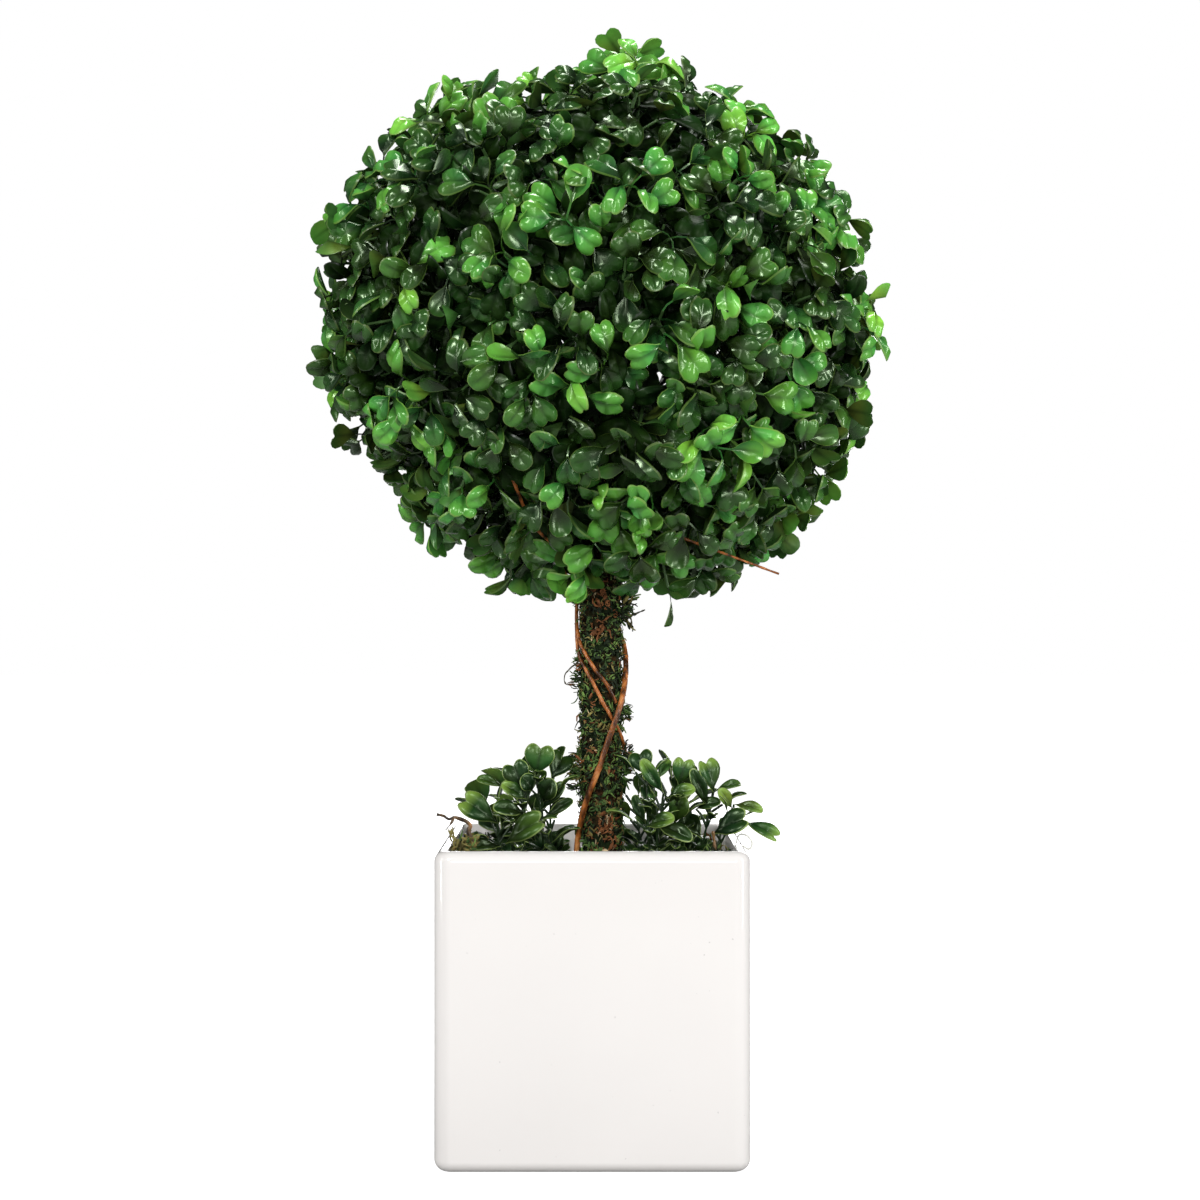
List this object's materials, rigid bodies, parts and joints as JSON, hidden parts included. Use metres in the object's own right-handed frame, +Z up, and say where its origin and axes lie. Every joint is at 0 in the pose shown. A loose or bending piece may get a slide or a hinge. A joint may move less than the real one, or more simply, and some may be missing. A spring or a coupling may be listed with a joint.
{
  "type": "potted artificial boxwood ball topiary",
  "caption": "Artificial boxwood ball clipped round on a moss-wrapped stem with vines, with leafy sprigs and moss at its foot, in a square white glazed pot.",
  "frame": {"origin": "centre of the pot's flat underside, on the ground plane", "axes": "+Z up along the stem, -Y towards the front that the picture shows, +X to its right"},
  "size_m": [0.2319, 0.2239, 0.4488],
  "materials": {
    "glaze": "gloss",
    "foam": "matte",
    "moss": "matte",
    "mossy_stem": "matte",
    "vine_bark": "matte",
    "boxwood": "gloss",
    "sprig_green": "gloss"
  },
  "bodies": {
    "root": {"pot": "glaze", "filling": "foam", "moss_bed": "moss", "stem": "mossy_stem", "vine_stout": "vine_bark", "vine_thin_lower": "vine_bark", "vine_thin_upper": "vine_bark", "foliage_ball": "boxwood", "sprig_left_outer": "sprig_green", "sprig_left_inner": "sprig_green", "sprig_right_inner": "sprig_green", "sprig_right_outer": "sprig_green", "sprig_back_left": "sprig_green", "sprig_back_right": "sprig_green"}
  },
  "joints": []
}
